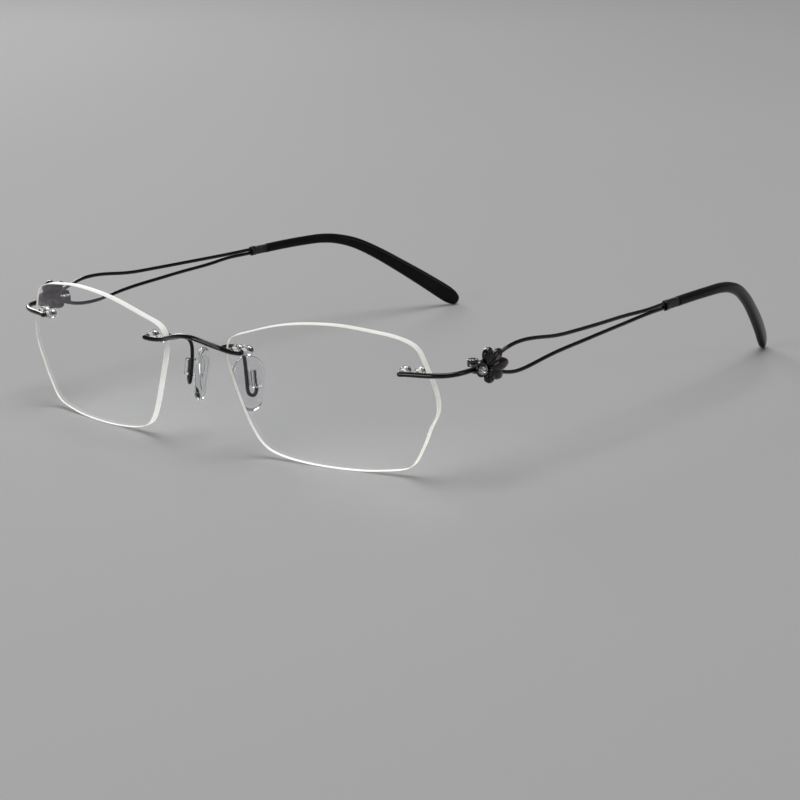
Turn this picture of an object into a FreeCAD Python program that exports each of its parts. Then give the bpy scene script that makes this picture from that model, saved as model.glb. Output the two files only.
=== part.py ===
"""Rimless eyeglasses: two drilled lenses, a wire bridge, and wire temples on screw hinges.

Millimetres. +Z is up, -Y is the front and +X is the wearer's left. The glasses stand on the
lens bottoms and on the ends of the ear tips, and the origin is on that surface, in the
middle of the whole object. Lengths along Y are first measured back from the lens fronts
(the datum), and at() moves them to the origin. The left half is built and then mirrored.
"""
import FreeCAD
import Part
import math
import os

Vector = FreeCAD.Vector
Rotation = FreeCAD.Rotation
Placement = FreeCAD.Placement

os.makedirs("parts", exist_ok=True)
doc = FreeCAD.newDocument("rimless_eyeglasses")

SIZES = {
    # whole frame
    "origin_back": 71.89,
    "lens_mid_x": 35.80,
    "lens_mid_y": 1.80,
    "lens_mid_z": 11.97,
    "face_wrap": 7.90,
    "face_tilt": 5.60,
    # lenses
    "lens_radius": 130.00,
    "lens_thick": 1.60,
    "lens_bevel": 0.15,
    "blank_half": 10.00,
    "drill_radius": 0.75,
    # metal wires
    "front_wire_radius": 0.55,
    "front_wire_lift": 0.75,
    "short_step": 0.80,
    "long_step": 1.00,
    "post_radius": 0.45,
    "post_length": 4.20,
    "arm_wire_radius": 0.42,
    "temple_wire_radius": 0.43,
    "core_wire_radius": 0.55,
    "core_bore_radius": 0.58,
    # clear bushings that hold the posts in the lenses
    "bushing_radius": 1.15,
    "bushing_length": 1.70,
    "sleeve_radius": 0.70,
    "sleeve_bore": 0.50,
    # nose pads
    "pad_width": 7.30,
    "pad_height": 12.30,
    "pad_thick": 1.80,
    "pad_edge": 0.70,
    "glue_gap": 0.05,
    "insert_width": 2.00,
    "insert_height": 3.60,
    "pin_play": 0.10,
    # hinges
    "hinge_x": 63.40,
    "hinge_y": 19.20,
    "hinge_z": 22.60,
    "knuckle_radius": 1.20,
    "knuckle_height": 0.35,
    "middle_height": 0.45,
    "knuckle_gap": 0.05,
    "screw_radius": 0.40,
    "screw_clearance": 0.05,
    "screw_fit": 0.02,
    "screw_head_height": 0.30,
    "groove_radius": 0.12,
    "slot_width": 0.40,
    "slot_depth": 0.12,
    "wire_seat": 0.05,
    "block_side": 1.60,
    "leaf_thick": 0.70,
    "leaf_width": 4.40,
    "leaf_height": 2.70,
    # flower and its stone
    "flower_x": 68.50,
    "flower_y": 17.30,
    "flower_z": 23.10,
    "petal_width": 1.35,
    "petal_thick": 0.85,
    "petal_inner": 1.30,
    "petal_back": 0.60,
    "disc_radius": 1.75,
    "disc_ahead": 0.80,
    "disc_thick": 0.47,
    "foot_radius": 0.70,
    "foot_length": 1.30,
    "cup_radius": 0.95,
    "cup_ahead": 1.60,
    "cup_height": 0.70,
    "stone_radius": 0.72,
    "stone_crown": 0.30,
    "stone_fit": 0.10,
    # temples
    "ferrule_x": 65.60,
    "ferrule_y": 83.60,
    "ferrule_z": 23.72,
    "ferrule_length": 5.20,
    "ferrule_height": 2.20,
    "ferrule_width": 1.62,
    "ferrule_wall": 0.20,
    "ferrule_rim": 1.50,
    "ferrule_step": 0.20,
    "ferrule_room": 0.10,
    "wire_spread": 0.46,
}

sheet = doc.addObject("Spreadsheet::Sheet", "dims")
for row, (alias, value) in enumerate(SIZES.items(), start=1):
    sheet.set(f"A{row}", alias)
    sheet.set(f"B{row}", str(value))
    sheet.setAlias(f"B{row}", alias)
doc.recompute()


def dim(alias):
    """The value of a sheet cell."""
    return getattr(sheet, alias)


def at(x, y, z):
    """A point given from the lens-front datum, in the object's own frame."""
    return Vector(x, y - dim("origin_back"), z)


def add(kind, name, **sizes):
    """A document object whose sizes are bound to sheet cells."""
    item = doc.addObject(kind, name)
    for size, cells in sizes.items():
        item.setExpression(size, cells)
    return item


def along(base, direction):
    """The placement that puts a primitive's Z axis on a line."""
    return Placement(base, Rotation(Vector(0, 0, 1), direction))


def across_line(place, line, side):
    """The placement of a section square to a line: Y along the side, Z along the line."""
    return Placement(place, Rotation(side.cross(line), side, line, "XYZ"))


def side_of(line):
    """The level direction square to a line."""
    return Vector(0, 0, 1).cross(line).normalize()


def cylinder(name, radius, height, base, direction):
    item = add("Part::Cylinder", name, Radius=radius, Height=height)
    item.Placement = along(base, direction)
    return item


def ball(name, radius, centre):
    item = add("Part::Sphere", name, Radius=radius)
    item.Placement.Base = centre
    return item


def fuse(name, shapes):
    item = doc.addObject("Part::MultiFuse", name)
    item.Shapes = shapes
    return item


def join(name, base, tool):
    item = doc.addObject("Part::Fuse", name)
    item.Base = base
    item.Tool = tool
    return item


def cut(name, base, tool):
    item = doc.addObject("Part::Cut", name)
    item.Base = base
    item.Tool = tool
    return item


def smooth_path(name, points):
    """A smooth curve through hand-chosen points."""
    curve = Part.BSplineCurve()
    curve.interpolate(points)
    item = doc.addObject("Part::Feature", name)
    item.Shape = Part.Wire([curve.toShape()])
    return item


# The rounded end of a wire: how far each circle is round the end, as an angle.
END_TURNS = (14, 38, 64)


def wire(name, points, cell, step="short_step"):
    """A round wire lofted through circles along a smooth curve, with rounded ends."""
    run = smooth_path(name + "_path", points).Shape.Edges[0]
    radius = dim(cell)
    straight = run.Length - 2 * radius
    count = max(4, round(straight / dim(step)))
    turns = [math.radians(turn) for turn in END_TURNS]
    ends = [(radius * (1 - math.cos(turn)), math.sin(turn)) for turn in turns]
    places = ends + [(radius + straight * number / count, 1.0) for number in range(count + 1)]
    places += [(run.Length - back, scale) for back, scale in reversed(ends)]
    side = side_of(run.tangentAt(run.FirstParameter))
    circles = []
    for number, (reach, scale) in enumerate(places):
        place = run.getParameterByLength(reach)
        line = run.tangentAt(place).normalize()
        side = (side - line * side.dot(line)).normalize()
        circle = add("Part::Circle", f"{name}_section_{number}", Radius=f"dims.{cell} * {scale:.4f}")
        circle.Placement = across_line(run.valueAt(place), line, side)
        circles.append(circle)
    loft = doc.addObject("Part::Loft", name)
    loft.Sections = circles
    loft.Solid = True
    return loft


# ------------------------------------------------------------------------------ lenses

# Points on the lens edge, across and up from the lens middle, going round from the temporal
# side over the top.
LENS_OUTLINE = [
    (26.4, 0.2), (27.7, 4.4), (26.9, 8.6), (25.4, 12.4), (23.7, 15.8), (20.6, 17.6),
    (13.5, 19.0), (6.4, 19.7), (-0.8, 19.6), (-8.0, 18.8), (-14.6, 17.3), (-21.2, 15.3),
    (-25.3, 13.2), (-26.1, 9.6), (-24.8, 4.6), (-22.6, -1.2), (-20.1, -6.4), (-17.3, -9.7),
    (-13.0, -11.2), (-6.6, -11.9), (1.5, -12.1), (9.5, -11.9), (16.0, -11.2), (20.4, -9.9),
    (22.7, -6.9), (24.6, -3.4),
]
lens_frame = Placement(
    at(dim("lens_mid_x"), dim("lens_mid_y"), dim("lens_mid_z")),
    Rotation(dim("face_wrap"), 0, dim("face_tilt")),
)
# Where the wire posts go through the lens, from the lens middle.
NASAL_POSTS = [(-21.1, 11.3), (-24.1, 11.1)]
TEMPORAL_POSTS = [(20.2, 10.7), (23.6, 10.7)]
# The ends of the wires on the lens fronts, a little past the inner posts.
BRIDGE_END = (-20.4, 11.35)
ENDPIECE_END = (19.5, 10.7)
# The bottom of the hinge block's socket, where the endpiece wire ends.
WIRE_END = at(66.95, 15.95, 23.02)


def lens_normal(across, up):
    """The outward normal of the lens front at a point, in the lens's own axes."""
    radius = dim("lens_radius")
    depth = math.sqrt(radius**2 - across**2 - up**2)
    return Vector(across / radius, -depth / radius, up / radius)


def lens_point(across, up, lift):
    """A point over the lens front, in the lens's own axes; a negative lift is inside it."""
    centre = Vector(0, dim("lens_radius"), 0)
    return centre + lens_normal(across, up) * (dim("lens_radius") + lift)


def over_lens(across, up, lift):
    """The same point in the object's frame."""
    return lens_frame.multVec(lens_point(across, up, lift))


def outward(across, up):
    """The lens's outward normal in the object's frame."""
    return lens_frame.Rotation.multVec(lens_normal(across, up))


def make_lens():
    edge = Part.BSplineCurve()
    edge.interpolate([Vector(across, 0, up) for across, up in LENS_OUTLINE], True)
    face = doc.addObject("Part::Feature", "lens_outline")
    face.Shape = Part.Face(Part.Wire([edge.toShape()]))
    blank = add("Part::Extrusion", "lens_blank", LengthFwd="dims.blank_half")
    blank.setExpression("LengthRev", "dims.blank_half")
    blank.Base = face
    blank.DirMode = "Custom"
    blank.Dir = Vector(0, 1, 0)
    blank.Solid = True
    front = ball("lens_front", "dims.lens_radius", Vector(0, dim("lens_radius"), 0))
    rear_centre = Vector(0, dim("lens_radius") + dim("lens_thick"), 0)
    rear = ball("lens_rear", "dims.lens_radius", rear_centre)
    uncut = doc.addObject("Part::Common", "lens_uncut")
    uncut.Base = blank
    uncut.Tool = cut("lens_shell", front, rear)
    doc.recompute()
    rims = [
        (number, dim("lens_bevel"), dim("lens_bevel"))
        for number, item in enumerate(uncut.Shape.Edges, start=1)
        if item.Length > dim("lens_mid_x")
    ]
    polished = doc.addObject("Part::Chamfer", "lens_polished")
    polished.Base = uncut
    polished.Edges = rims
    drills = [
        cylinder(
            f"lens_drill_{number}", "dims.drill_radius", "dims.lens_thick * 3",
            lens_point(across, up, -dim("lens_thick") * 2), lens_normal(across, up),
        )
        for number, (across, up) in enumerate(NASAL_POSTS + TEMPORAL_POSTS, start=1)
    ]
    lens = cut("lens", polished, fuse("lens_drills", drills))
    lens.Placement = lens_frame
    return lens


# ------------------------------------------------------- bridge, endpieces and bushings


def posts(name, places):
    """Straight posts from the wire on the lens front to the back of the bushings."""
    return [
        cylinder(
            f"{name}_post_{number}", "dims.post_radius", "dims.post_length",
            over_lens(across, up, dim("front_wire_lift")), outward(across, up).negative(),
        )
        for number, (across, up) in enumerate(places, start=1)
    ]


def make_bridge():
    lift = dim("front_wire_lift")
    half = [over_lens(across, up, lift) for across, up in [BRIDGE_END] + NASAL_POSTS[1:]]
    half += [at(8.5, -0.75, 23.75), at(5.6, -1.60, 24.60), at(2.5, -2.25, 25.40)]
    middle = at(0, -2.40, 25.60)
    other = [Vector(-point.x, point.y, point.z) for point in reversed(half)]
    metal = wire("bridge_wire", half + [middle] + other, "front_wire_radius")
    left_posts = posts("bridge", NASAL_POSTS)
    mirrored_posts = [mirrored(post, post.Name + "_mirror") for post in left_posts]
    return fuse("bridge", [metal] + left_posts + mirrored_posts)


def make_endpiece():
    lift = dim("front_wire_lift")
    points = [over_lens(across, up, lift) for across, up in [ENDPIECE_END] + TEMPORAL_POSTS[1:]]
    points += [at(64.2, 7.65, 22.95), at(66.3, 9.70, 23.05), at(66.95, 12.20, 23.10)]
    points += [WIRE_END - Vector(0, dim("wire_seat"), 0)]
    metal = wire("endpiece_wire", points, "front_wire_radius")
    return fuse("endpiece", [metal] + posts("endpiece", TEMPORAL_POSTS))


def make_bushing(name, across, up):
    """A clear collar behind the lens with a thin sleeve in the drilled hole."""
    inward = outward(across, up).negative()
    behind = over_lens(across, up, -dim("lens_thick") - dim("glue_gap"))
    inside = over_lens(across, up, -dim("glue_gap"))
    before = over_lens(across, up, dim("lens_thick"))
    sleeve_length = "dims.lens_thick + dims.bushing_length / 3"
    collar = cylinder(name + "_collar", "dims.bushing_radius", "dims.bushing_length", behind, inward)
    sleeve = cylinder(name + "_sleeve", "dims.sleeve_radius", sleeve_length, inside, inward)
    bore = cylinder(name + "_bore", "dims.sleeve_bore", "dims.post_length * 2", before, inward)
    return cut(name, fuse(name + "_solid", [collar, sleeve]), bore)


# ------------------------------------------------------------------------- nose pads

# The last leg of the pad arm is straight: it is the pin on which the pad rocks.
PIN_BOTTOM = at(10.95, 8.15, 12.90)
PIN_TOP = at(10.40, 8.38, 17.40)
PAD_MIDDLE = at(7.83, 9.26, 13.85)
PAD_YAW = 62.0
# The small bottom arc as a share of the big top arc.
PAD_TAPER = 0.66
# How far the middle of the pad's insert is above the middle of the pad.
INSERT_RAISE = 1.20


def make_pad_arm():
    points = [
        at(8.30, 0.05, 23.68), at(8.15, 2.60, 23.50), at(8.20, 4.60, 23.20),
        at(8.35, 6.20, 22.45), at(8.45, 7.15, 21.20), at(8.60, 7.45, 19.30),
        at(8.85, 7.40, 16.50), at(9.20, 7.20, 13.80), at(9.50, 7.15, 12.50),
        at(9.95, 7.35, 11.95), at(10.55, 7.80, 12.00),
    ]
    pin = [PIN_BOTTOM + (PIN_TOP - PIN_BOTTOM) * share for share in (0, 0.25, 0.5, 0.75, 1)]
    return wire("pad_arm", points + pin, "arm_wire_radius")


def pad_frame():
    """The pad's own axes: X across, Y up along the arm's pin, Z away from the nose."""
    across = Rotation(PAD_YAW, 0, 0).multVec(Vector(1, 0, 0))
    up = PIN_TOP - PIN_BOTTOM
    return Placement(PAD_MIDDLE, Rotation(across, up, across.cross(up), "XYZ"))


def make_nose_pad():
    """A soft teardrop: a big arc above, a small arc below and straight flanks."""
    body = doc.addObject("PartDesign::Body", "nose_pad")
    plane = next(item for item in body.Origin.OriginFeatures if item.Role == "XY_Plane")
    sketch = body.newObject("Sketcher::SketchObject", "nose_pad_sketch")
    sketch.AttachmentSupport = (plane, "")
    sketch.MapMode = "FlatFace"
    big = dim("pad_width") / 2
    small = big * PAD_TAPER
    low = Vector(0, small - dim("pad_height") / 2, 0)
    high = Vector(0, dim("pad_height") / 2 - big, 0)
    lean = math.asin((big - small) / (high.y - low.y))
    side = Vector(math.cos(lean), -math.sin(lean), 0)
    other = Vector(-side.x, side.y, 0)
    normal = Vector(0, 0, 1)
    lower = Part.ArcOfCircle(Part.Circle(low, normal, small), math.pi + lean, 2 * math.pi - lean)
    upper = Part.ArcOfCircle(Part.Circle(high, normal, big), -lean, math.pi + lean)
    sketch.addGeometry(lower)
    sketch.addGeometry(Part.LineSegment(low + side * small, high + side * big))
    sketch.addGeometry(upper)
    sketch.addGeometry(Part.LineSegment(high + other * big, low + other * small))
    pad = body.newObject("PartDesign::Pad", "nose_pad_pad")
    pad.Profile = sketch
    pad.setExpression("Length", "dims.pad_thick")
    pad.Midplane = True
    doc.recompute()
    rounded = body.newObject("PartDesign::Fillet", "nose_pad_round")
    rounded.Base = (pad, ["Face5", "Face6"])
    rounded.setExpression("Radius", "dims.pad_edge")
    body.Placement = pad_frame()
    return body


def make_pad_insert():
    """The stiff clear box on the pad's back; its bore takes the arm's pin."""
    frame = pad_frame()
    pin_axis = PIN_TOP - PIN_BOTTOM
    pin_local = frame.inverse().multVec((PIN_TOP + PIN_BOTTOM) / 2)
    back = dim("pad_thick") / 2 + dim("glue_gap")
    box = add("Part::Box", "pad_insert_box", Width="dims.insert_height", Length="dims.insert_width")
    box.Height = pin_local.z + dim("insert_width") / 2 - back
    corner = Vector(pin_local.x - dim("insert_width") / 2, INSERT_RAISE - dim("insert_height") / 2, back)
    box.Placement = Placement(frame.multVec(corner), frame.Rotation)
    start = PIN_BOTTOM - pin_axis
    radius = "dims.arm_wire_radius + dims.pin_play"
    bore = cylinder("pad_insert_bore", radius, "dims.pad_height * 2", start, pin_axis)
    return cut("pad_insert", box, bore)


# ----------------------------------------------------------------------------- hinges


def hinge_at(height):
    """A point on the hinge axis, a height above the bottom of the lowest knuckle."""
    return at(dim("hinge_x"), dim("hinge_y"), dim("hinge_z") + height)


def knuckle(name, height, bottom, toward):
    """A flat round knuckle with an arm that reaches out to a point beside it."""
    up = Vector(0, 0, 1)
    centre = hinge_at(bottom)
    disc = cylinder(name + "_disc", "dims.knuckle_radius", height, centre, up)
    reach = Vector(toward.x - centre.x, toward.y - centre.y, 0)
    arm = add("Part::Box", name + "_arm", Width="dims.knuckle_radius * 1.5", Height=height)
    arm.Length = reach.Length
    turn = math.degrees(math.atan2(reach.y, reach.x))
    half_side = Rotation(turn, 0, 0).multVec(Vector(0, dim("knuckle_radius") * 0.75, 0))
    arm.Placement = Placement(centre - half_side, Rotation(turn, 0, 0))
    return [disc, arm]


def hinge_bore(name, clearance):
    """A bore through all the knuckles, for the screw."""
    radius = "dims.screw_radius + " + clearance
    start = hinge_at(-2 * dim("block_side"))
    return cylinder(name, radius, "dims.block_side * 4", start, Vector(0, 0, 1))


def make_hinge_front():
    """The block on the end of the endpiece wire, with the middle knuckle."""
    side = dim("block_side")
    block = add("Part::Box", "hinge_block", Length="dims.block_side", Width="dims.block_side")
    block.setExpression("Height", "dims.block_side")
    block.Placement.Base = at(66.90, 16.40, 22.90) - Vector(side / 2, side / 2, side / 2)
    wire_end = WIRE_END
    radius = "dims.front_wire_radius + 0.03"
    socket = cylinder("hinge_socket", radius, "dims.block_side", wire_end, Vector(0, -1, 0))
    seat = cut("hinge_seated_block", block, socket)
    bottom = dim("knuckle_height") + dim("knuckle_gap")
    ring = knuckle("hinge_middle", "dims.middle_height", bottom, at(66.4, 16.6, 0))
    bore = hinge_bore("hinge_middle_bore", "dims.screw_clearance")
    bored = cut("hinge_front_ring", fuse("hinge_front_link", ring), bore)
    return fuse("hinge_front", [seat, bored])


def make_hinge_rear():
    """The leaf under the flower, with the lower and the upper knuckle."""
    top = dim("knuckle_height") + dim("middle_height") + 2 * dim("knuckle_gap")
    toward = at(66.6, 18.9, 0)
    low = knuckle("hinge_low", "dims.knuckle_height", 0, toward)
    high = knuckle("hinge_high", "dims.knuckle_height", top, toward)
    leaf = add("Part::Box", "hinge_leaf", Length="dims.leaf_thick", Height="dims.leaf_height")
    leaf.setExpression("Width", "dims.leaf_width")
    leaf.Placement.Base = at(66.2, 18.3, 21.75)
    bore = hinge_bore("hinge_rear_bore", "dims.screw_fit")
    return cut("hinge_rear", fuse("hinge_rear_solid", low + high + [leaf]), bore)


# How many grooves the screw head has round its edge.
SCREW_TEETH = 12


def make_hinge_screw():
    """A screw with a slotted, toothed round head; it turns with the temple."""
    up = Vector(0, 0, 1)
    rim = dim("knuckle_radius")
    seat = 2 * dim("knuckle_height") + dim("middle_height") + 2 * dim("knuckle_gap") + dim("screw_fit")
    length = "2 * dims.knuckle_height + dims.middle_height + 2 * dims.knuckle_gap + dims.slot_width"
    shank = cylinder("screw_shank", "dims.screw_radius", length, hinge_at(-dim("slot_width") / 2), up)
    head = cylinder("screw_head", "dims.knuckle_radius", "dims.screw_head_height", hinge_at(seat), up)
    grooves = []
    for number in range(SCREW_TEETH):
        edge = Rotation(number * 360 / SCREW_TEETH, 0, 0).multVec(Vector(rim, 0, 0))
        place = hinge_at(seat - dim("screw_head_height")) + edge
        name = f"screw_groove_{number}"
        grooves.append(cylinder(name, "dims.groove_radius", "dims.screw_head_height * 3", place, up))
    slot = add("Part::Box", "screw_slot", Width="dims.slot_width", Height="dims.slot_depth * 2")
    slot.setExpression("Length", "dims.knuckle_radius * 3")
    middle = Vector(1.5 * rim, dim("slot_width") / 2, 0)
    slot.Placement.Base = hinge_at(seat + dim("screw_head_height") - dim("slot_depth")) - middle
    return cut("hinge_screw", fuse("screw_solid", [shank, head]), fuse("screw_cuts", grooves + [slot]))


# ---------------------------------------------------------------- flower on the hinge

# Each petal: its direction from the flower's middle (0 is straight back, 90 is up), and its
# length.
PETALS = [(72, 4.5), (30, 6.1), (1, 7.2), (-26, 5.8), (-60, 3.7)]
# How far every other petal stands out over its neighbours.
PETAL_LIFT = 0.12


def flower_point(angle, reach, out):
    """A point in the flower's plane, a reach from its middle and a little way outward."""
    turn = math.radians(angle)
    back = dim("flower_y") + reach * math.cos(turn)
    up = dim("flower_z") + reach * math.sin(turn)
    return at(dim("flower_x") + out, back, up)


def make_petal(number, angle, length):
    """One cast petal: a long flat ellipsoid that points away from the middle."""
    lobe = add("Part::Ellipsoid", f"petal_{number}", Radius1="dims.petal_width")
    lobe.setExpression("Radius2", "dims.petal_thick")
    lobe.Radius3 = (length - dim("petal_inner")) / 2
    middle = flower_point(angle, (length + dim("petal_inner")) / 2, PETAL_LIFT * (number % 2))
    lobe.Placement = Placement(middle, Rotation(Vector(1, 0, 0), angle))
    return lobe


def make_flower():
    """Five petals cast on a disc, flat at the back, with a foot that stands on the leaf."""
    petals = [make_petal(number, angle, length) for number, (angle, length) in enumerate(PETALS, 1)]
    span = 16
    back = add("Part::Box", "flower_back", Length="dims.petal_width * 2")
    back.Width = span
    back.Height = span
    corner = Vector(back.Length.Value + dim("petal_back"), span / 2, span / 2)
    back.Placement.Base = flower_point(0, 0, 0) - corner
    flat_petals = cut("flower_petals", fuse("flower_round_petals", petals), back)
    out = Vector(1, 0, 0)
    low = flower_point(0, -dim("disc_ahead"), -0.55)
    disc = cylinder("flower_disc", "dims.disc_radius", "dims.disc_thick", low, out)
    foot = cylinder("flower_foot", "dims.foot_radius", "dims.foot_length", flower_point(0, 1.8, -1.48), out)
    return join("flower", join("flower_head", flat_petals, disc), foot)


def make_stone_cup():
    """The small round setting at the flower's front, with a conical seat for the stone."""
    out = Vector(1, 0, 0)
    floor = 0.45
    base = flower_point(0, -dim("cup_ahead"), -dim("glue_gap"))
    length = f"dims.cup_height + {floor} + dims.glue_gap"
    cup = cylinder("cup_outer", "dims.cup_radius", length, base, out)
    seat = add("Part::Cone", "cup_seat", Radius1="dims.stone_fit * 1.5")
    seat.setExpression("Radius2", "dims.stone_radius + dims.stone_fit")
    seat.setExpression("Height", "dims.cup_height")
    seat.Placement = along(flower_point(0, -dim("cup_ahead"), floor), out)
    return cut("stone_cup", cup, seat)


def make_stone():
    """A round-cut stone: a shallow crown over a pointed pavilion."""
    base = flower_point(0, -dim("cup_ahead"), dim("cup_height") + 0.35)
    out = Vector(1, 0, 0)
    crown = add("Part::Cone", "stone_crown", Radius1="dims.stone_radius", Height="dims.stone_crown")
    crown.setExpression("Radius2", "dims.stone_radius * 0.55")
    crown.Placement = along(base, out)
    pavilion = add("Part::Cone", "stone_pavilion", Radius1="dims.stone_radius", Radius2="0.05")
    pavilion.setExpression("Height", "dims.stone_radius * 0.75")
    pavilion.Placement = along(base, out.negative())
    return fuse("stone", [crown, pavilion])


# ----------------------------------------------------------------------------- temples


def ferrule_point(back, up):
    """A point on the ferrule's line: how far back from its front, and how far up."""
    front = at(dim("ferrule_x"), dim("ferrule_y"), dim("ferrule_z"))
    return front + ferrule_line() * back + Vector(0, 0, up)


def ferrule_line():
    return Vector(-0.07, 1, 0).normalize()


def make_temple_wire(name, middle_points, side):
    spread = dim("wire_spread") * side
    last_points = [ferrule_point(back, spread) for back in (-7, -3, 2.2)]
    return wire(name, middle_points + last_points, "temple_wire_radius", "long_step")


def make_upper_wire():
    points = [
        at(67.36, 20.6, 23.95), at(67.36, 23.0, 25.0), at(67.5, 26.4, 26.0),
        at(67.5, 30.5, 26.35), at(67.5, 35.5, 26.0), at(67.35, 41.5, 25.2),
        at(67.1, 49.0, 24.8), at(66.6, 60.0, 24.55), at(66.1, 70.0, 24.35),
    ]
    return make_temple_wire("temple_wire_upper", points, 1)


def make_lower_wire():
    points = [
        at(67.36, 20.6, 22.25), at(67.36, 23.2, 21.2), at(67.4, 26.6, 20.35),
        at(67.2, 31.0, 20.15), at(67.1, 36.5, 20.75), at(67.0, 43.0, 21.45),
        at(66.8, 51.5, 21.95), at(66.5, 61.0, 22.45), at(66.1, 70.0, 22.85),
    ]
    return make_temple_wire("temple_wire_lower", points, -1)


def oval(name, height, width, length, back):
    """An upright oval bar along the ferrule's line."""
    edge = add("Part::Ellipse", name + "_edge", MajorRadius=height + " / 2", MinorRadius=width + " / 2")
    line = ferrule_line()
    edge.Placement = across_line(ferrule_point(back, 0), line, side_of(line))
    bar = add("Part::Extrusion", name, LengthFwd=length)
    bar.Base = edge
    bar.DirMode = "Custom"
    bar.Dir = line
    bar.Solid = True
    return bar


def make_ferrule():
    """The oval metal sleeve that takes both temple wires and the ear tip's core."""
    tube = oval("ferrule_tube", "dims.ferrule_height", "dims.ferrule_width", "dims.ferrule_length", 0)
    rim_height = "(dims.ferrule_height + dims.ferrule_step)"
    rim_width = "(dims.ferrule_width + dims.ferrule_step)"
    rim = oval("ferrule_rim_oval", rim_height, rim_width, "dims.ferrule_rim", 0)
    inner_height = "(dims.ferrule_height - 2 * dims.ferrule_wall + dims.ferrule_room)"
    inner_width = "(dims.ferrule_width - 2 * dims.ferrule_wall)"
    hollow = oval("ferrule_hollow", inner_height, inner_width, "dims.ferrule_length + 2", -1)
    return cut("ferrule", fuse("ferrule_solid", [tube, rim]), hollow)


# Points along the ear tip's middle line, each with its height and thickness there.
EAR_TIP = [
    ((65.25, 88.9, 23.72), 2.30, 1.90), ((64.90, 95.0, 23.70), 2.30, 1.90),
    ((64.40, 102.0, 23.55), 2.35, 1.95), ((63.65, 108.5, 23.20), 2.45, 2.00),
    ((62.65, 114.0, 22.15), 2.60, 2.05), ((61.20, 119.5, 20.10), 2.90, 2.10),
    ((59.20, 125.5, 16.60), 3.20, 2.10), ((56.80, 131.5, 12.40), 3.55, 2.15),
    ((54.20, 137.5, 7.95), 4.00, 2.20), ((51.85, 142.4, 4.05), 4.30, 2.20),
    ((50.95, 144.2, 2.55), 4.10, 2.10), ((50.35, 145.4, 1.55), 3.40, 1.80),
    ((50.00, 146.1, 0.97), 2.20, 1.20), ((49.92, 146.3, 0.82), 0.80, 0.50),
]


def make_ear_tip():
    """A moulded tip lofted through ovals that grow into a flat rounded paddle."""
    path = smooth_path("ear_tip_path", [at(*point) for point, height, thick in EAR_TIP])
    curve = path.Shape.Edges[0].Curve
    sections = []
    for number, (point, height, thick) in enumerate(EAR_TIP):
        place = at(*point)
        line = Vector(*curve.tangent(curve.parameter(place))[0])
        edge = doc.addObject("Part::Ellipse", f"ear_tip_section_{number}")
        edge.MajorRadius = height / 2
        edge.MinorRadius = thick / 2
        edge.Placement = across_line(place, line, side_of(line))
        sections.append(edge)
    loft = doc.addObject("Part::Loft", "ear_tip_loft")
    loft.Sections = sections
    loft.Solid = True
    return cut("temple_tip", loft, wire("ear_tip_bore", core_points(), "core_bore_radius"))


def core_points():
    """The core wire's line: the ear tip's own middle line, short of its end."""
    return [ferrule_point(4.0, 0)] + [at(*point) for point, height, thick in EAR_TIP[1:9]]


def make_core():
    return wire("temple_core", core_points(), "core_wire_radius")


# --------------------------------------------------------------- the sub-parts by name


def mirrored(source, name):
    item = doc.addObject("Part::Mirroring", name)
    item.Source = source
    item.Base = Vector(0, 0, 0)
    item.Normal = Vector(1, 0, 0)
    return item


one_side = {
    "lens": make_lens(),
    "endpiece": make_endpiece(),
    "pad_arm": make_pad_arm(),
    "nose_pad": make_nose_pad(),
    "pad_insert": make_pad_insert(),
    "hinge_front": make_hinge_front(),
    "hinge_rear": make_hinge_rear(),
    "hinge_screw": make_hinge_screw(),
    "flower": make_flower(),
    "stone_cup": make_stone_cup(),
    "stone": make_stone(),
    "temple_wire_upper": make_upper_wire(),
    "temple_wire_lower": make_lower_wire(),
    "ferrule": make_ferrule(),
    "temple_core": make_core(),
    "temple_tip": make_ear_tip(),
}
for group, places in (("nasal_bushing", NASAL_POSTS), ("temporal_bushing", TEMPORAL_POSTS)):
    for number, (across, up) in enumerate(places, start=1):
        one_side[f"{group}_{number}"] = make_bushing(f"{group}_{number}", across, up)

nodes = {"bridge": make_bridge()}
for name, item in one_side.items():
    nodes[name + "_left"] = item
    nodes[name + "_right"] = mirrored(item, name + "_right")

doc.recompute()
for name, item in nodes.items():
    item.Label = name
for item in doc.Objects:
    if "Invalid" in item.State or "Error" in item.State:
        raise RuntimeError(f"{item.Name} did not build")
for name, item in nodes.items():
    if item.Shape.isNull() or not item.Shape.isValid():
        raise RuntimeError(f"{name} has no valid shape")
    item.Shape.exportStep(f"parts/{name}.step")
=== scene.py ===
"""Looks for the rimless eyeglasses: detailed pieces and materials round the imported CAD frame."""

import math

import bmesh
import bpy
from mathutils import Matrix, Vector


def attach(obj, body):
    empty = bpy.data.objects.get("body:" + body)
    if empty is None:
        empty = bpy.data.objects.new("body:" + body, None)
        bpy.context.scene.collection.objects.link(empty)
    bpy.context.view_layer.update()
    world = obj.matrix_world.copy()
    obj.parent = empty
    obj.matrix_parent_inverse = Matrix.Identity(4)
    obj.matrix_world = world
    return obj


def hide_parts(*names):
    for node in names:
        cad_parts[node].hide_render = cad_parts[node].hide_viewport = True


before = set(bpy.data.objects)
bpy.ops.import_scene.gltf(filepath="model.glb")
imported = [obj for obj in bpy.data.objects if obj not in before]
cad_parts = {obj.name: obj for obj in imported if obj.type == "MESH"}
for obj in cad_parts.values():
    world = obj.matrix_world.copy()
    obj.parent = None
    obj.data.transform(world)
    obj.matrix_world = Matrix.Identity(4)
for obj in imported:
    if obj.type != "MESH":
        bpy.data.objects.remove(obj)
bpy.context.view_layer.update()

MM = 0.001
# How far the lens fronts are ahead of the object's middle, in millimetres.
DATUM_BACK = 71.89
SIDES = (("left", 1), ("right", -1))
UP = Vector((0, 0, 1))
OUT = Vector((1, 0, 0))


def at(x, y, z):
    """A point in millimetres, measured back from the lens fronts, in the CAD frame."""
    return Vector((x, y - DATUM_BACK, z))


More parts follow.
